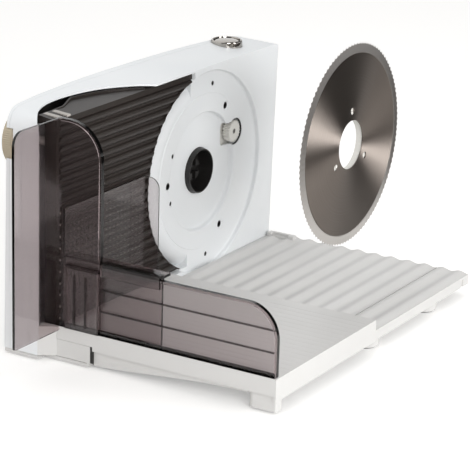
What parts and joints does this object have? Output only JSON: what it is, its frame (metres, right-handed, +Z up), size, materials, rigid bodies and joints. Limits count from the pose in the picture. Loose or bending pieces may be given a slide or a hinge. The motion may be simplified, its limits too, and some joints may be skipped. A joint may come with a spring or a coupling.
{
  "type": "electric food slicer",
  "caption": "White electric food slicer, round blade taken off: ribbed thickness plate, sliding carriage with smoked guard and food holder, corrugated deck, push switch, thickness knob.",
  "frame": {"origin": "bottom centre of the bounding box, on the table that the feet stand on", "axes": "+Z up, +Y away from the operator along the carriage's stroke, +X from the housing out over the deck, along the blade's axis"},
  "size_m": [0.2772, 0.4468, 0.263],
  "materials": {
    "white_plastic": "satin moulded white",
    "smoked_plastic": "smoked translucent",
    "dark_plate": "satin dark brown, ribbed",
    "black_plastic": "satin",
    "gear_plastic": "natural acetal",
    "blade_steel": "radially brushed stainless",
    "bright_steel": "polished",
    "plain_steel": "bright drawn",
    "bronze": "sintered bronze",
    "motor_steel": "zinc plated can",
    "champagne_metal": "champagne metallic",
    "foot_rubber": "matt grey",
    "board": "circuit board"
  },
  "bodies": {
    "housing": {"main_housing": "white_plastic", "side_cover": "white_plastic", "base_plate": "white_plastic", "deck": "white_plastic", "carriage_rail": "plain_steel", "foot_front_left": "foot_rubber", "foot_back_left": "foot_rubber", "foot_back_right": "foot_rubber", "foot_front_right": "foot_rubber", "hub_sleeve": "black_plastic", "lock_socket": "black_plastic", "shaft_bush": "bronze", "cover_bush": "bronze", "motor": "motor_steel", "motor_bracket": "plain_steel", "fence_guide_low": "plain_steel", "fence_guide_high": "plain_steel", "switch_bezel": "bright_steel", "switch_body": "black_plastic", "cord_inlet": "black_plastic", "rectifier_board": "board", "cover_screw_front_low": "plain_steel", "cover_screw_front_high": "plain_steel", "cover_screw_back_low": "plain_steel", "cover_screw_back_high": "plain_steel", "face_screw_1": "plain_steel", "face_screw_2": "plain_steel", "face_screw_3": "plain_steel"},
    "thickness_plate_body": {"thickness_plate": "dark_plate"},
    "knob": {"thickness_knob": "champagne_metal", "knob_shaft": "gear_plastic"},
    "switch": {"switch_button": "bright_steel"},
    "carriage": {"carriage_tray": "white_plastic", "rail_slider": "gear_plastic", "runner_left": "gear_plastic", "runner_right": "gear_plastic", "guard": "smoked_plastic"},
    "holder": {"food_holder": "smoked_plastic"},
    "blade_seat": {"blade_bush": "black_plastic"},
    "blade_wheel": {"blade": "blade_steel", "blade_ring_gear": "gear_plastic"},
    "motor_rotor": {"motor_pinion": "plain_steel"},
    "drive": {"drive_pinion": "gear_plastic", "reduction_wheel": "gear_plastic", "drive_shaft": "plain_steel"}
  },
  "joints": [
    {"name": "thickness_slide", "type": "slide", "parent": "housing", "child": "thickness_plate_body", "axis": [1, 0, 0], "range_m": [-0.012, 0.003]},
    {"name": "knob_turn", "type": "hinge", "parent": "housing", "child": "knob", "pos_m": [-0.1352, -0.14336, 0.194], "axis": [1, 0, 0], "range_deg": [-216, 54]},
    {"name": "switch_press", "type": "slide", "parent": "housing", "child": "switch", "axis": [0, 0, -1], "range_m": [0, 0.003], "stiffness_N_per_m": 400, "springref_m": -0.003},
    {"name": "carriage_slide", "type": "slide", "parent": "housing", "child": "carriage", "axis": [0, 1, 0], "range_m": [0, 0.15]},
    {"name": "holder_slide", "type": "slide", "parent": "carriage", "child": "holder", "axis": [1, 0, 0], "range_m": [0, 0.085]},
    {"name": "blade_removal", "type": "slide", "parent": "housing", "child": "blade_seat", "axis": [0.9472, 0, 0.3208], "range_m": [-0.16523, 0]},
    {"name": "blade_spin", "type": "hinge", "parent": "blade_seat", "child": "blade_wheel", "pos_m": [0.0683, 0.09264, 0.168], "axis": [1, 0, 0], "continuous": true},
    {"name": "motor_spin", "type": "hinge", "parent": "housing", "child": "motor_rotor", "pos_m": [-0.0882, 0.16532, 0.11728], "axis": [1, 0, 0], "continuous": true},
    {"name": "drive_spin", "type": "hinge", "parent": "housing", "child": "drive", "pos_m": [-0.0882, 0.15077, 0.14248], "axis": [1, 0, 0], "continuous": true}
  ],
  "couplings": [
    {"joint": "thickness_slide", "follows": "knob_turn", "m_per_rad": 0.00318},
    {"joint": "motor_spin", "follows": "drive_spin", "ratio": -5}
  ]
}
